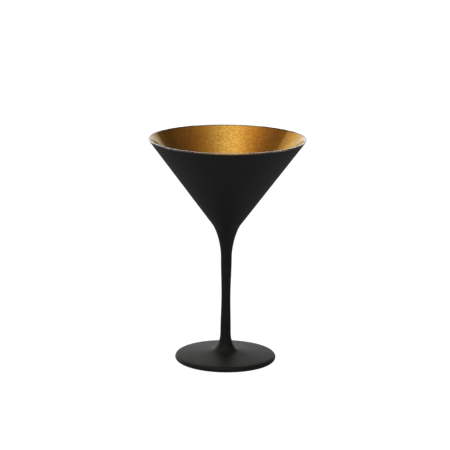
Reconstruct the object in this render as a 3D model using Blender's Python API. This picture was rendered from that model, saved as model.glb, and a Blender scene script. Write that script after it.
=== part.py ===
"""Martini glass: a wide conical bowl on a slim waisted stem and a shallow round foot.

Three pieces of clear glass are fused end to end. A gold lacquer covers the outside of the bowl, so it
shows through the glass from within, and a matt black lacquer covers everything outside. The lip and the
underside of the foot stay bare. Every piece is turned about the Z axis, which starts at the table.
"""

import math

import bmesh
import bpy

# Driving dimensions, in metres.
HEIGHT = 0.172
MOUTH_RADIUS = 0.0599          # where the line of the cone's outside meets the height of the lip
CONE_SLOPE = 0.7425            # radius gained for each metre of height
LIP_THICKNESS = 0.00155        # square across the wall, with both lacquers
LIP_OUTER_ROUND = 0.0002
LIP_INNER_ROUND = 0.0007
LIP_BARE = 0.0009              # height of clear glass above the black lacquer
GOLD_BARE = 0.0012             # and above the gold
BOWL_BOTTOM_RADIUS = 0.005     # inside, where the cone is rounded off

CONE_END_RADIUS = 0.0109       # where the cone turns into the neck
NECK_END = (0.00418, 0.080)    # radius and height of the weld between bowl and stem
STEM_WAIST = (0.00349, 0.050)
STEM_END = (0.00400, 0.0215)   # the weld between stem and foot
FLARE_END = (0.0115, 0.0068)   # where the flare has flattened out into the foot

FOOT_RADIUS = 0.0385
FOOT_EDGE_ROUND = 0.0021
REST_RING_WIDTH = 0.0032       # flat ring that stands on the table
UNDERSIDE_RISE = 0.0034        # height of the hollow under the foot, on the axis

BLACK_FILM = 0.00015
GOLD_FILM = 0.00010
FILM_GAP = 0.00005             # between a film and what it covers
WELD_GAP = 0.00010             # between two welded faces

SEGMENTS = 48
MERGE_DISTANCE = 1e-6

SLANT = math.hypot(1.0, CONE_SLOPE)
CONE_NORMAL_ANGLE = -math.atan(CONE_SLOPE)
FILM_DEPTH = BLACK_FILM + FILM_GAP
BOWL_DEPTH = FILM_DEPTH + GOLD_FILM + FILM_GAP


def clear_scene():
    for obj in list(bpy.data.objects):
        bpy.data.objects.remove(obj, do_unlink=True)


def material(name, colour, roughness, metallic=0.0, transmission=0.0):
    mat = bpy.data.materials.new(name)
    mat.use_nodes = True
    shader = mat.node_tree.nodes["Principled BSDF"]
    shader.inputs["Base Color"].default_value = (*colour, 1.0)
    shader.inputs["Roughness"].default_value = roughness
    shader.inputs["Metallic"].default_value = metallic
    shader.inputs["Transmission Weight"].default_value = transmission
    return mat


# Outlines are lists of (radius, height) that run down the outside of the glass.


def curve(start, first, second, end, steps):
    """Points of a cubic curve after its start, up to and with its end."""
    points = []
    for step in range(1, steps + 1):
        t = step / steps
        weights = ((1 - t) ** 3, 3 * (1 - t) ** 2 * t, 3 * (1 - t) * t * t, t ** 3)
        controls = (start, first, second, end)
        points.append(tuple(sum(w * c[i] for w, c in zip(weights, controls)) for i in (0, 1)))
    return points


def arc(centre, radius, start, end, steps):
    """Points of a round stretch, with both ends; angles from the outward direction."""
    angles = [start + (end - start) * step / steps for step in range(steps + 1)]
    return [(centre[0] + radius * math.cos(a), centre[1] + radius * math.sin(a)) for a in angles]


def inset(outline, depth):
    """The outline moved by depth towards the inside of the glass, square to its surface."""
    normals = []
    for (r0, z0), (r1, z1) in zip(outline, outline[1:]):
        length = math.hypot(r1 - r0, z1 - z0)
        normals.append(((z1 - z0) / length, (r0 - r1) / length))
    moved = []
    for index, (radius, height) in enumerate(outline):
        before = normals[max(index - 1, 0)]
        after = normals[min(index, len(normals) - 1)]
        total = (before[0] + after[0], before[1] + after[1])
        scale = depth * 2 / (total[0] ** 2 + total[1] ** 2)
        moved.append((radius + total[0] * scale, height + total[1] * scale))
    return moved


def cone_radius(height):
    return MOUTH_RADIUS - CONE_SLOPE * (HEIGHT - height)


def cone_point(height):
    return (cone_radius(height), height)


def inner_cone_radius(height):
    return cone_radius(height) - LIP_THICKNESS * SLANT


# Outer shape of the whole glass, from the lacquer's upper edge to its lower edge.


def bowl_outside(top=HEIGHT - LIP_BARE):
    """The straight cone from the given height, and the neck that it narrows into, down to the weld."""
    end_height = HEIGHT - (MOUTH_RADIUS - CONE_END_RADIUS) / CONE_SLOPE
    cone_end = (CONE_END_RADIUS, end_height)
    pull = 0.005
    lead_in = (CONE_END_RADIUS - pull * CONE_SLOPE / SLANT, end_height - pull / SLANT)
    lead_out = (NECK_END[0], NECK_END[1] + 0.0105)
    return [cone_point(top), cone_end] + curve(cone_end, lead_in, lead_out, NECK_END, 7)


def stem_outside():
    """A slight waist between two upright ends."""
    upper = (NECK_END[1] - STEM_WAIST[1]) / 3
    lower = (STEM_WAIST[1] - STEM_END[1]) / 3
    to_waist = curve(NECK_END, (NECK_END[0], NECK_END[1] - upper),
                     (STEM_WAIST[0], STEM_WAIST[1] + upper), STEM_WAIST, 3)
    to_foot = curve(STEM_WAIST, (STEM_WAIST[0], STEM_WAIST[1] - lower),
                    (STEM_END[0], STEM_END[1] + lower), STEM_END, 3)
    return [NECK_END] + to_waist + to_foot


def edge_centre():
    return (FOOT_RADIUS - FOOT_EDGE_ROUND, FOOT_EDGE_ROUND)


def foot_outside():
    """The flare, the shallow slope of the foot and its round edge, down to the lacquer's lower edge."""
    slope_angle = math.radians(83.5)
    lacquer_end = math.radians(-52)
    edge = arc(edge_centre(), FOOT_EDGE_ROUND, slope_angle, lacquer_end, 6)
    flare = curve(STEM_END, (0.00405, 0.0165), (0.0052, 0.0080), FLARE_END, 6)
    slope = curve(FLARE_END, (0.0175, 0.00566), (0.0280, 0.00517), edge[0], 3)
    return [STEM_END] + flare + slope + edge[1:]


# Each piece's own outline.


def lip_outline():
    """Bare glass at the mouth: from the inner wall over the top to just above the lacquer."""
    inner_centre = (inner_cone_radius(HEIGHT - LIP_INNER_ROUND) + LIP_INNER_ROUND * SLANT,
                    HEIGHT - LIP_INNER_ROUND)
    outer_centre = (cone_radius(HEIGHT - LIP_OUTER_ROUND) - LIP_OUTER_ROUND * SLANT,
                    HEIGHT - LIP_OUTER_ROUND)
    upright = math.radians(90)
    inner = arc(inner_centre, LIP_INNER_ROUND, math.pi + CONE_NORMAL_ANGLE, upright, 2)
    outer = arc(outer_centre, LIP_OUTER_ROUND, upright, CONE_NORMAL_ANGLE, 4)
    return inner + outer


def bowl_inside():
    """From the axis at the bottom of the hollow up to where the wall is straight."""
    apex = HEIGHT - (MOUTH_RADIUS - LIP_THICKNESS * SLANT) / CONE_SLOPE
    centre = (0.0, apex + BOWL_BOTTOM_RADIUS * SLANT / CONE_SLOPE)
    points = arc(centre, BOWL_BOTTOM_RADIUS, math.radians(-90), CONE_NORMAL_ANGLE, 4)
    return [(0.0, points[0][1])] + points[1:]


def glass_bowl_outline():
    shoulder = HEIGHT - LIP_BARE + FILM_GAP
    gold_top = HEIGHT - GOLD_BARE + FILM_GAP
    weld = NECK_END[1] + WELD_GAP / 2
    behind_black = inset([cone_point(shoulder), cone_point(gold_top)], FILM_DEPTH)
    behind_gold = inset(bowl_outside(gold_top), BOWL_DEPTH)
    behind_gold[-1] = (behind_gold[-1][0], weld)
    outside = [cone_point(shoulder)] + behind_black + behind_gold
    return bowl_inside() + lip_outline() + outside + [(0.0, weld)]


def glass_stem_outline():
    covered = inset(stem_outside(), FILM_DEPTH)
    top = NECK_END[1] - WELD_GAP / 2
    bottom = STEM_END[1] + WELD_GAP / 2
    covered[0] = (covered[0][0], top)
    covered[-1] = (covered[-1][0], bottom)
    return [(0.0, top)] + covered + [(0.0, bottom)]


def glass_foot_outline():
    outside = foot_outside()
    covered = inset(outside, FILM_DEPTH)
    top = STEM_END[1] - WELD_GAP / 2
    covered[0] = (covered[0][0], top)
    bare_edge = arc(edge_centre(), FOOT_EDGE_ROUND, math.radians(-56), math.radians(-90), 2)
    ring_inner = edge_centre()[0] - REST_RING_WIDTH
    hollow = curve((ring_inner, 0.0), (ring_inner * 0.9, UNDERSIDE_RISE * 0.55),
                   (ring_inner * 0.5, UNDERSIDE_RISE), (0.0, UNDERSIDE_RISE), 5)
    return [(0.0, top)] + covered + bare_edge + [(ring_inner, 0.0)] + hollow


def film_outline(outside, depth, thickness):
    """A closed band whose outer face lies depth inside the given outline."""
    outer = inset(outside, depth)
    inner = inset(outside, depth + thickness)
    return outer + inner[::-1] + outer[:1]


def gold_outline():
    outside = bowl_outside(HEIGHT - GOLD_BARE)
    outside[-1] = (NECK_END[0], NECK_END[1] + 0.0006)
    return film_outline(outside, FILM_DEPTH, GOLD_FILM)


def black_outline():
    outside = bowl_outside() + stem_outside()[1:] + foot_outside()[1:]
    return film_outline(outside, 0.0, BLACK_FILM)


def turned(name, outline, mat):
    """Turn an outline about the Z axis into one closed solid."""
    mesh = bpy.data.meshes.new(name)
    bm = bmesh.new()
    verts = [bm.verts.new((radius, 0.0, height)) for radius, height in outline]
    edges = [bm.edges.new(pair) for pair in zip(verts, verts[1:])]
    bmesh.ops.spin(bm, geom=verts + edges, cent=(0, 0, 0), axis=(0, 0, 1),
                   angle=math.tau, steps=SEGMENTS)
    bmesh.ops.remove_doubles(bm, verts=bm.verts, dist=MERGE_DISTANCE)
    bmesh.ops.recalc_face_normals(bm, faces=bm.faces)
    bm.to_mesh(mesh)
    bm.free()
    mesh.materials.append(mat)
    mesh.shade_smooth()
    mesh.set_sharp_from_angle(angle=math.radians(40))
    obj = bpy.data.objects.new(name, mesh)
    bpy.context.collection.objects.link(obj)
    return obj


clear_scene()

clear_glass = material("clear_glass", (0.93, 0.95, 0.95), 0.02, transmission=1.0)
gold_paint = material("gold_lacquer", (0.62, 0.36, 0.09), 0.32, metallic=1.0)
black_paint = material("black_lacquer", (0.012, 0.012, 0.012), 0.62)

turned("glass_bowl", glass_bowl_outline(), clear_glass)
turned("glass_stem", glass_stem_outline(), clear_glass)
turned("glass_foot", glass_foot_outline(), clear_glass)
turned("gold_lacquer", gold_outline(), gold_paint)
turned("black_lacquer", black_outline(), black_paint)
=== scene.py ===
"""Looks of the martini glass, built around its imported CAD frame.

Every CAD node is replaced by a finely turned piece of the same size: three pieces of clear glass, a
metallic gold lacquer behind the bowl's glass and a matt black lacquer over everything outside.
"""

import math

import bmesh
import bpy
from mathutils import Matrix, Vector


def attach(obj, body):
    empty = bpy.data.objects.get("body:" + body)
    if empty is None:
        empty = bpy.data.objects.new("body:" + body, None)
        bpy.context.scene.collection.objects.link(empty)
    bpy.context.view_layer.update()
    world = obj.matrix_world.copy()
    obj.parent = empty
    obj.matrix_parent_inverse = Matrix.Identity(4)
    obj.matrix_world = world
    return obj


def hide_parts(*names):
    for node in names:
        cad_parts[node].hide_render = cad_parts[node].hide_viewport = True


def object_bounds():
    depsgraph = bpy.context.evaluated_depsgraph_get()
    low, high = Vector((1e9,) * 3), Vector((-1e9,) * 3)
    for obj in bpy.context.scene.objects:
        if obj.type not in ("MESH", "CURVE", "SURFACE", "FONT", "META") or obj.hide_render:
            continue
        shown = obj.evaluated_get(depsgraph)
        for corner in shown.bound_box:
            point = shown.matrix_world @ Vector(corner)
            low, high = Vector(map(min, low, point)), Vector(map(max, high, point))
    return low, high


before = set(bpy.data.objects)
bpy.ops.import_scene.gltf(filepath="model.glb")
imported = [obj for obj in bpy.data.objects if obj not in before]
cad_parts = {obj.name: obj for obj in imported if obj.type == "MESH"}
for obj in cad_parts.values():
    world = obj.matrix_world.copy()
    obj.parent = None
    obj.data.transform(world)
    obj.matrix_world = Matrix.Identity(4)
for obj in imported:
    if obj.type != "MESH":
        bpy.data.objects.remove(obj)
cad_low, cad_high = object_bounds()

# Sizes in metres. The outline is the same as the CAD's, turned with more and finer steps.
HEIGHT = cad_high.z
MOUTH_RADIUS = 0.0599          # where the line of the cone's outside meets the height of the lip
CONE_SLOPE = 0.7425            # radius gained for each metre of height
LIP_THICKNESS = 0.00155        # square across the wall, with both lacquers
LIP_OUTER_ROUND = 0.0002
LIP_INNER_ROUND = 0.0007
LIP_BARE = 0.0009              # height of clear glass above the black lacquer
GOLD_BARE = 0.0012             # and above the gold
BOWL_BOTTOM_RADIUS = 0.005     # inside, where the cone is rounded off

CONE_END_RADIUS = 0.0109       # where the cone turns into the neck
NECK_PULL = 0.005              # reach of the cone's direction into the neck's curve
NECK_RISE = 0.0105             # and of the stem's upright direction
NECK_END = (0.00418, 0.080)    # radius and height of the weld between bowl and stem
STEM_WAIST = (0.00349, 0.050)
STEM_END = (0.00400, 0.0215)   # the weld between stem and foot
FLARE_PULLS = ((0.00405, 0.0165), (0.0052, 0.0080))
FLARE_END = (0.0115, 0.0068)   # where the flare has flattened out into the foot
SLOPE_PULLS = ((0.0175, 0.00566), (0.0280, 0.00517))

FOOT_RADIUS = 0.0385
FOOT_EDGE_ROUND = 0.0021
EDGE_TOP = math.radians(83.5)  # angles on the round edge, from the outward direction
BLACK_END = math.radians(-52)
BARE_START = math.radians(-56)
REST_RING_WIDTH = 0.0032       # flat ring that stands on the table
UNDERSIDE_RISE = 0.0034        # height of the hollow under the foot, on the axis
HOLLOW_PULLS = ((0.9, 0.55), (0.5, 1.0))    # as shares of the hollow's radius and rise

BLACK_FILM = 0.00015
GOLD_FILM = 0.00010
FILM_GAP = 0.00005             # between a film and what it covers
WELD_GAP = 0.00010             # between two welded faces
GOLD_STOP = 0.0006             # from the gold's lower edge to the weld
BITE = 0.00002                 # how far a film reaches into the glass, so no air shows between them

SEGMENTS = 192
MERGE_DISTANCE = 1e-6
SMOOTH_ANGLE = math.radians(40)

UPRIGHT = math.radians(90)
SLANT = math.hypot(1.0, CONE_SLOPE)
CONE_NORMAL_ANGLE = -math.atan(CONE_SLOPE)
FILM_DEPTH = BLACK_FILM + FILM_GAP
BOWL_DEPTH = FILM_DEPTH + GOLD_FILM + FILM_GAP


# Outlines: lists of (radius, height) that run down the outside of the glass.


def straight(start, end, steps):
    """Points of a straight run with both ends, closer together near the ends."""
    points = []
    for step in range(steps + 1):
        t = (1 - math.cos(math.pi * step / steps)) / 2
        points.append((start[0] + (end[0] - start[0]) * t, start[1] + (end[1] - start[1]) * t))
    return points


def curve(start, first, second, end, steps):
    """Points of a cubic curve after its start, up to and with its end."""
    points = []
    for step in range(1, steps + 1):
        t = step / steps
        weights = ((1 - t) ** 3, 3 * (1 - t) ** 2 * t, 3 * (1 - t) * t * t, t ** 3)
        controls = (start, first, second, end)
        points.append(tuple(sum(w * c[i] for w, c in zip(weights, controls)) for i in (0, 1)))
    return points


def arc(centre, radius, start, end, steps):
    """Points of a round stretch, with both ends; angles from the outward direction."""
    angles = [start + (end - start) * step / steps for step in range(steps + 1)]
    return [(centre[0] + radius * math.cos(a), centre[1] + radius * math.sin(a)) for a in angles]


def inset(outline, depth):
    """The outline moved by depth towards the inside of the glass, square to its surface."""
    normals = []
    for (r0, z0), (r1, z1) in zip(outline, outline[1:]):
        length = math.hypot(r1 - r0, z1 - z0)
        normals.append(((z1 - z0) / length, (r0 - r1) / length))
    moved = []
    for index, (radius, height) in enumerate(outline):
        before = normals[max(index - 1, 0)]
        after = normals[min(index, len(normals) - 1)]
        total = (before[0] + after[0], before[1] + after[1])
        scale = depth * 2 / (total[0] ** 2 + total[1] ** 2)
        moved.append((radius + total[0] * scale, height + total[1] * scale))
    return moved


def cone_radius(height):
    return MOUTH_RADIUS - CONE_SLOPE * (HEIGHT - height)


def cone_point(height):
    return (cone_radius(height), height)


def inner_cone_radius(height):
    return cone_radius(height) - LIP_THICKNESS * SLANT


def bowl_outside(top=HEIGHT - LIP_BARE, bottom=NECK_END[1]):
    """The straight cone and the neck that it narrows into, between the given heights."""
    end_height = HEIGHT - (MOUTH_RADIUS - CONE_END_RADIUS) / CONE_SLOPE
    cone_end = (CONE_END_RADIUS, end_height)
    lead_in = (CONE_END_RADIUS - NECK_PULL * CONE_SLOPE / SLANT, end_height - NECK_PULL / SLANT)
    lead_out = (NECK_END[0], NECK_END[1] + NECK_RISE)
    neck = curve(cone_end, lead_in, lead_out, NECK_END, steps=28)
    neck[-1] = (NECK_END[0], bottom)
    return straight(cone_point(top), cone_end, steps=14) + neck


def stem_outside():
    """A slight waist between two upright ends."""
    upper = (NECK_END[1] - STEM_WAIST[1]) / 3
    lower = (STEM_WAIST[1] - STEM_END[1]) / 3
    to_waist = curve(NECK_END, (NECK_END[0], NECK_END[1] - upper),
                     (STEM_WAIST[0], STEM_WAIST[1] + upper), STEM_WAIST, steps=12)
    to_foot = curve(STEM_WAIST, (STEM_WAIST[0], STEM_WAIST[1] - lower),
                    (STEM_END[0], STEM_END[1] + lower), STEM_END, steps=12)
    return [NECK_END] + to_waist + to_foot


def edge_centre():
    return (FOOT_RADIUS - FOOT_EDGE_ROUND, FOOT_EDGE_ROUND)


def foot_outside():
    """The flare, the shallow slope of the foot and its round edge, down to the lacquer's lower edge."""
    edge = arc(edge_centre(), FOOT_EDGE_ROUND, EDGE_TOP, BLACK_END, steps=20)
    flare = curve(STEM_END, *FLARE_PULLS, FLARE_END, steps=26)
    slope = curve(FLARE_END, *SLOPE_PULLS, edge[0], steps=14)
    return [STEM_END] + flare + slope + edge[1:]


def lip_outline():
    """Bare glass at the mouth: from the inner wall over the top to just above the lacquer."""
    inner_centre = (inner_cone_radius(HEIGHT - LIP_INNER_ROUND) + LIP_INNER_ROUND * SLANT,
                    HEIGHT - LIP_INNER_ROUND)
    outer_centre = (cone_radius(HEIGHT - LIP_OUTER_ROUND) - LIP_OUTER_ROUND * SLANT,
                    HEIGHT - LIP_OUTER_ROUND)
    inner = arc(inner_centre, LIP_INNER_ROUND, math.pi + CONE_NORMAL_ANGLE, UPRIGHT, steps=8)
    outer = arc(outer_centre, LIP_OUTER_ROUND, UPRIGHT, CONE_NORMAL_ANGLE, steps=12)
    return inner + outer


def glass_bowl_outline():
    """Up the inside, over the lip and down the recess that both lacquers lie in."""
    apex = HEIGHT - (MOUTH_RADIUS - LIP_THICKNESS * SLANT) / CONE_SLOPE
    centre = (0.0, apex + BOWL_BOTTOM_RADIUS * SLANT / CONE_SLOPE)
    bottom = arc(centre, BOWL_BOTTOM_RADIUS, -UPRIGHT, CONE_NORMAL_ANGLE, steps=14)
    bottom[0] = (0.0, bottom[0][1])
    lip = lip_outline()
    inside = bottom + straight(bottom[-1], lip[0], steps=14)[1:]
    shoulder = HEIGHT - LIP_BARE + FILM_GAP
    gold_top = HEIGHT - GOLD_BARE + FILM_GAP
    weld = NECK_END[1] + WELD_GAP / 2
    behind_black = inset([cone_point(shoulder), cone_point(gold_top)], FILM_DEPTH)
    behind_gold = inset(bowl_outside(top=gold_top, bottom=weld), BOWL_DEPTH)
    return inside + lip[1:] + [cone_point(shoulder)] + behind_black + behind_gold + [(0.0, weld)]


def glass_stem_outline():
    covered = inset(stem_outside(), FILM_DEPTH)
    top = NECK_END[1] - WELD_GAP / 2
    bottom = STEM_END[1] + WELD_GAP / 2
    covered[0] = (covered[0][0], top)
    covered[-1] = (covered[-1][0], bottom)
    return [(0.0, top)] + covered + [(0.0, bottom)]


def glass_foot_outline():
    """Down the covered flare and edge, then the bare edge, the rest ring and the hollow underneath."""
    covered = inset(foot_outside(), FILM_DEPTH)
    top = STEM_END[1] - WELD_GAP / 2
    covered[0] = (covered[0][0], top)
    bare_edge = arc(edge_centre(), FOOT_EDGE_ROUND, BARE_START, -UPRIGHT, steps=6)
    ring_inner = edge_centre()[0] - REST_RING_WIDTH
    pulls = [(ring_inner * across, UNDERSIDE_RISE * up) for across, up in HOLLOW_PULLS]
    hollow = curve((ring_inner, 0.0), *pulls, (0.0, UNDERSIDE_RISE), steps=20)
    return [(0.0, top)] + covered + bare_edge + [(ring_inner, 0.0)] + hollow


def film_outline(outside, outer_depth, inner_depth):
    """A closed band between two depths under the given outline."""
    outer = inset(outside, outer_depth)
    return outer + inset(outside, inner_depth)[::-1] + outer[:1]


def turned(name, outline, mat):
    """Turn an outline about the Z axis into one closed, smoothly shaded piece."""
    mesh = bpy.data.meshes.new(name)
    bm = bmesh.new()
    verts = [bm.verts.new((radius, 0.0, height)) for radius, height in outline]
    edges = [bm.edges.new(pair) for pair in zip(verts, verts[1:])]
    bmesh.ops.spin(bm, geom=verts + edges, cent=(0, 0, 0), axis=(0, 0, 1),
                   angle=math.tau, steps=SEGMENTS)
    bmesh.ops.remove_doubles(bm, verts=bm.verts, dist=MERGE_DISTANCE)
    bmesh.ops.recalc_face_normals(bm, faces=bm.faces)
    bm.to_mesh(mesh)
    bm.free()
    mesh.materials.append(mat)
    mesh.shade_smooth()
    mesh.set_sharp_from_angle(angle=SMOOTH_ANGLE)
    piece = bpy.data.objects.new(name, mesh)
    bpy.context.scene.collection.objects.link(piece)
    return piece


# Materials.


class Graph:
    """Short calls that add linked nodes to a node tree."""

    def __init__(self, tree):
        self.nodes = tree.nodes
        self.links = tree.links

    def add(self, kind, *inputs, **settings):
        """A new node, with a value or another node's output for each of its first inputs."""
        made = self.nodes.new(kind)
        for key, value in settings.items():
            setattr(made, key, value)
        for slot, value in enumerate(inputs):
            if isinstance(value, bpy.types.NodeSocket):
                self.links.new(value, made.inputs[slot])
            else:
                made.inputs[slot].default_value = value
        return made.outputs

    def maths(self, operation, *values):
        return self.add("ShaderNodeMath", *values, operation=operation)[0]

    def vectors(self, operation, *values):
        return self.add("ShaderNodeVectorMath", *values, operation=operation)["Vector"]

    def between(self, factor, low, high, start=0.0, end=1.0, fade="LINEAR"):
        """A number that goes from low to high as the factor goes from start to end."""
        return self.add("ShaderNodeMapRange", factor, start, end, low, high, interpolation_type=fade)[0]


class Material(Graph):
    """A Principled material with textures; sizes and depths are in metres."""

    def __init__(self, name, **plain):
        self.material = bpy.data.materials.new(name)
        self.material.use_nodes = True
        super().__init__(self.material.node_tree)
        self.shader = self.nodes["Principled BSDF"]
        self.place = self.nodes.new("ShaderNodeTexCoord").outputs["Object"]
        for socket, value in plain.items():
            self.shader.inputs[socket.replace("_", " ")].default_value = value

    def noise(self, size, detail=2.0):
        """Noise with features of the given size."""
        node = self.nodes.new("ShaderNodeTexNoise")
        node.inputs["Scale"].default_value = 1.0 / size
        node.inputs["Detail"].default_value = detail
        self.links.new(self.place, node.inputs["Vector"])
        return node.outputs["Fac"]

    def flakes(self, size):
        """One random brightness for each flake of the given size."""
        node = self.nodes.new("ShaderNodeTexVoronoi")
        node.inputs["Scale"].default_value = 1.0 / size
        self.links.new(self.place, node.inputs["Vector"])
        return self.add("ShaderNodeSeparateColor", node.outputs["Color"])["Red"]

    def colours(self, factor, *stops):
        """A colour that runs through (position, rgb) stops."""
        node = self.nodes.new("ShaderNodeValToRGB")
        ramp = node.color_ramp
        while len(ramp.elements) < len(stops):
            ramp.elements.new(0.5)
        for element, (position, rgb) in zip(ramp.elements, stops):
            element.position = position
            element.color = (*rgb, 1.0)
        self.links.new(factor, node.inputs["Fac"])
        return node.outputs["Color"]

    def mixed(self, first, second, share):
        """The average of two factors, with the given share of the second."""
        node = self.nodes.new("ShaderNodeMix")
        node.inputs["Factor"].default_value = share
        self.links.new(first, node.inputs["A"])
        self.links.new(second, node.inputs["B"])
        return node.outputs["Result"]

    def bump(self, height, depth, strength):
        """Relief of the given depth."""
        node = self.nodes.new("ShaderNodeBump")
        node.inputs["Strength"].default_value = strength
        node.inputs["Distance"].default_value = depth
        self.links.new(height, node.inputs["Height"])
        self.drive("Normal", node.outputs["Normal"])

    def drive(self, socket, source):
        self.links.new(source, self.shader.inputs[socket])


def clear_glass():
    """Faintly green glass with a slight unevenness."""
    mat = Material("clear_glass", Transmission_Weight=1.0, IOR=1.5)
    tint = mat.colours(mat.noise(0.03), (0.3, (0.955, 0.975, 0.970)), (0.7, (0.985, 0.992, 0.990)))
    mat.drive("Base Color", tint)
    mat.drive("Roughness", mat.between(mat.noise(0.012, 3.0), 0.0, 0.012, 0.4, 0.7))
    mat.bump(mat.noise(0.018), depth=0.00002, strength=0.15)
    return mat.material


def gold_lacquer():
    """Gold lacquer, light gold seen square on, with painted shade that makes it deeper at a slant and a
    painted sheen that makes it paler at a grazing view.
    """
    mat = Material("gold_lacquer", Metallic=1.0)
    slant = mat.nodes.new("ShaderNodeLayerWeight").outputs["Facing"]
    # The colour by view angle is painted light: painted shade darkens it at a slant and a painted sheen
    # lightens it at a grazing view.
    slant_shade_and_sheen = mat.colours(slant,
                      (0.043, (0.96, 0.59, 0.098)),
                      (0.06, (0.90, 0.42, 0.015)),
                      (0.09, (0.79, 0.32, 0.006)),
                      (0.16, (0.62, 0.275, 0.006)),
                      (0.21, (0.78, 0.46, 0.020)),
                      (0.27, (0.96, 0.70, 0.140)))
    pigment = mat.mixed(mat.noise(0.0009), mat.flakes(0.0009), share=0.45)
    grain = mat.colours(pigment,
                        (0.36, (0.81, 0.62, 0.26)),
                        (0.5, (0.905, 0.82, 0.60)),
                        (0.64, (1.0, 1.0, 1.0)))
    mat.drive("Base Color", mat.vectors("MULTIPLY", slant_shade_and_sheen, grain))
    mat.drive("Roughness", mat.between(mat.flakes(0.0005), 0.14, 0.24))
    mat.bump(mat.noise(0.0006), depth=0.00003, strength=0.4)
    return mat.material


def black_lacquer():
    """Matt spray paint with cloudy and fine variation."""
    mat = Material("black_lacquer", IOR=1.45, Specular_IOR_Level=0.6)
    cloud = mat.mixed(mat.noise(0.02, 3.0), mat.noise(0.0006, 3.0), share=0.5)
    shade = mat.colours(cloud, (0.3, (0.0045, 0.0046, 0.0050)), (0.7, (0.0078, 0.0080, 0.0085)))
    mat.drive("Base Color", shade)
    mat.drive("Roughness", mat.between(mat.noise(0.0008, 4.0), 0.50, 0.66, 0.3, 0.7))
    mat.bump(mat.noise(0.00028, 3.0), depth=0.00002, strength=0.5)
    return mat.material


# The object's pieces.


def gold_outline():
    reach = bowl_outside(top=HEIGHT - GOLD_BARE, bottom=NECK_END[1] + GOLD_STOP)
    return film_outline(reach, FILM_DEPTH, BOWL_DEPTH + BITE)


def black_outline():
    reach = bowl_outside() + stem_outside()[1:] + foot_outside()[1:]
    return film_outline(reach, 0.0, FILM_DEPTH + BITE)


def build_pieces():
    glass = clear_glass()
    gold = gold_lacquer()
    black = black_lacquer()
    pieces = (
        ("bowl_glass", glass_bowl_outline(), glass, "glass_bowl", "clear_glass"),
        ("stem_glass", glass_stem_outline(), glass, "glass_stem", "clear_glass"),
        ("foot_glass", glass_foot_outline(), glass, "glass_foot", "clear_glass"),
        ("gold_film", gold_outline(), gold, "gold_lacquer", "gold_lacquer"),
        ("black_film", black_outline(), black, "black_lacquer", "black_lacquer"),
    )
    for name, outline, mat, node, slot in pieces:
        piece = turned(name, outline, mat)
        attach(piece, "root")
        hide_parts(node)


# The studio. Bearings run from +X towards +Y, so 90 degrees is behind the glass; heights are elevations.
# A panel's sides are where it is out, full, full and out again, and its top where it is full and out.

WALL_SIDES = (46.0, 57.0, 149.0, 155.0)
WALL_TOP = (4.0, 44.0)
WALL_MIDDLE = 100.0            # where the wall is brightest
WALL_REACH = 48.0
WALL_LEVELS = (1.7, 0.92)      # radiance there and at the end of its reach
GLEAM_TOP = (0.0, 4.0)         # the wall is brighter up to here
GLEAM = 1.4                    # by this share
PANEL_SIDES = (116.0, 128.0, 149.0, 155.0)
PANEL_TOP = (37.0, 48.0)
PANEL_COLOUR = (1.05, 1.02, 0.62)
KEY_DIRECTION = Vector((-0.166, -0.449, 0.878)).normalized()
KEY_LEVEL = 0.99
KEY_COLOUR = (1.0, 0.93, 0.82)
KEY_FOCUS = 8.8                # the key falls to half its level where (1 - cosine) times this is 1
FLOOR_REACH = 1.2
FLOOR_COLOUR = (0.18, 0.2, 0.23, 1.0)
FLOOR_GLOW = 0.17              # the floor's own light on the glass

CAMERA_LENS = 170.3            # millimetres, as is the picture's width
CAMERA_PICTURE = 36.0
CAMERA_DISTANCE = 1.570
CAMERA_HEIGHT = 0.4701
CAMERA_YAW = -0.0008           # radians, as are the next two
CAMERA_PITCH = 0.2283
CAMERA_ROLL = 0.0102
CAMERA_REACH = 50.0            # metres, the farthest that it sees


def plain_sight(graph):
    """1 for what the camera sees directly or straight through bare glass, and 0 for all other light.

    Through glass means no bounce yet and both of its surfaces passed; the limits lie between the counts.
    """
    path = graph.nodes.new("ShaderNodeLightPath").outputs
    bounces = graph.maths("ADD", path["Diffuse Depth"], path["Glossy Depth"])
    unbounced = graph.maths("LESS_THAN", bounces, 0.5)
    out_of_glass = graph.maths("GREATER_THAN", path["Transmission Depth"], 1.5)
    through_glass = graph.maths("MULTIPLY", unbounced, out_of_glass)
    return graph.maths("MAXIMUM", path["Is Camera Ray"], through_glass)


def build_floor():
    """Paper that is plain white to the camera, but a dim cool grey to the light that falls on the glass."""
    mesh = bpy.data.meshes.new("floor")
    corners = [(x * FLOOR_REACH, y * FLOOR_REACH, 0.0) for x, y in ((-1, -1), (1, -1), (1, 1), (-1, 1))]
    mesh.from_pydata(corners, [], [(0, 1, 2, 3)])
    floor = bpy.data.objects.new("floor", mesh)
    bpy.context.scene.collection.objects.link(floor)
    paper = Material("white_paper", Base_Color=FLOOR_COLOUR, Roughness=0.9,
                     Emission_Color=(1.0, 1.0, 1.0, 1.0))
    paper.drive("Emission Strength", paper.between(plain_sight(paper), FLOOR_GLOW, 1.0))
    mesh.materials.append(paper.material)


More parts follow.
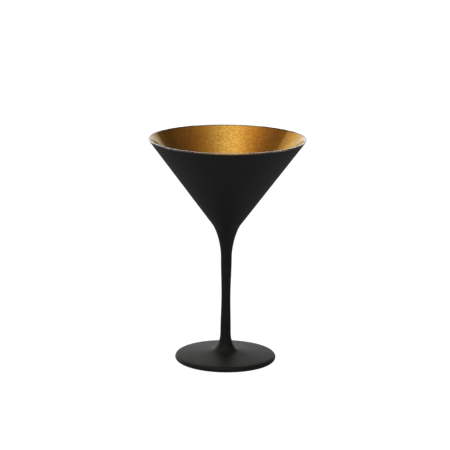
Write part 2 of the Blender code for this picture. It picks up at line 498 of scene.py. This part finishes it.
def build_world():
    """A dim studio: a white wall behind, a taller panel at its left and a broad soft key overhead.

    The camera itself sees plain white.
    """
    world = bpy.data.worlds.new("studio")
    bpy.context.scene.world = world
    world.use_nodes = True
    graph = Graph(world.node_tree)
    towards = graph.nodes.new("ShaderNodeTexCoord").outputs["Generated"]
    x, y, z = graph.add("ShaderNodeSeparateXYZ", towards)
    bearing = graph.maths("ARCTAN2", y, x)
    elevation = graph.maths("ARCSINE", z)

    def fade(angle, full, out):
        """1 up to full and 0 from out on, both in degrees."""
        return graph.between(angle, 1.0, 0.0, math.radians(full), math.radians(out), "SMOOTHSTEP")

    def panel(sides, top):
        """A soft-edged panel between two bearings and up to a height, 1 inside and 0 outside."""
        right = fade(bearing, sides[1], sides[0])
        left = fade(bearing, sides[2], sides[3])
        return graph.maths("MULTIPLY", graph.maths("MULTIPLY", right, left), fade(elevation, *top))

    aside = graph.maths("ABSOLUTE", graph.maths("SUBTRACT", bearing, math.radians(WALL_MIDDLE)))
    level = graph.between(aside, *WALL_LEVELS, 0.0, math.radians(WALL_REACH), "SMOOTHSTEP")
    gleam = graph.maths("ADD", 1.0, graph.maths("MULTIPLY", fade(elevation, *GLEAM_TOP), GLEAM))
    wall = graph.maths("MULTIPLY", panel(WALL_SIDES, WALL_TOP), graph.maths("MULTIPLY", level, gleam))
    tall = graph.maths("MULTIPLY", panel(PANEL_SIDES, PANEL_TOP), level)

    aim = graph.add("ShaderNodeVectorMath", towards, tuple(KEY_DIRECTION), operation="DOT_PRODUCT")
    off_axis = graph.maths("SUBTRACT", 1.0, aim["Value"])
    key = graph.maths("DIVIDE", KEY_LEVEL, graph.maths("MULTIPLY_ADD", off_axis, KEY_FOCUS, 1.0))

    white = graph.maths("MAXIMUM", wall, plain_sight(graph))
    warm = graph.vectors("MULTIPLY", key, KEY_COLOUR)
    yellow = graph.vectors("MULTIPLY", tall, PANEL_COLOUR)
    light = graph.vectors("MAXIMUM", graph.vectors("MAXIMUM", warm, yellow), white)
    graph.links.new(light, graph.nodes["Background"].inputs["Color"])


def build_camera():
    """A long lens that looks down by 13 degrees, turned half a degree about its own axis."""
    data = bpy.data.cameras.new("camera")
    data.sensor_width = CAMERA_PICTURE
    data.lens = CAMERA_LENS
    data.clip_end = CAMERA_REACH
    level = Vector((math.sin(CAMERA_YAW), math.cos(CAMERA_YAW), 0.0))
    forward = level * math.cos(CAMERA_PITCH) - Vector((0.0, 0.0, math.sin(CAMERA_PITCH)))
    right = Vector((level.y, -level.x, 0.0))
    up = right.cross(forward)
    axis_x = right * math.cos(CAMERA_ROLL) + up * math.sin(CAMERA_ROLL)
    axis_y = up * math.cos(CAMERA_ROLL) - right * math.sin(CAMERA_ROLL)
    camera = bpy.data.objects.new("camera", data)
    turn = Matrix((axis_x, axis_y, -forward)).transposed().to_4x4()
    camera.matrix_world = Matrix.Translation((0.0, -CAMERA_DISTANCE, CAMERA_HEIGHT)) @ turn
    bpy.context.scene.collection.objects.link(camera)
    bpy.context.scene.camera = camera


build_pieces()
build_floor()
build_world()
build_camera()
bpy.context.scene.view_settings.view_transform = "Standard"
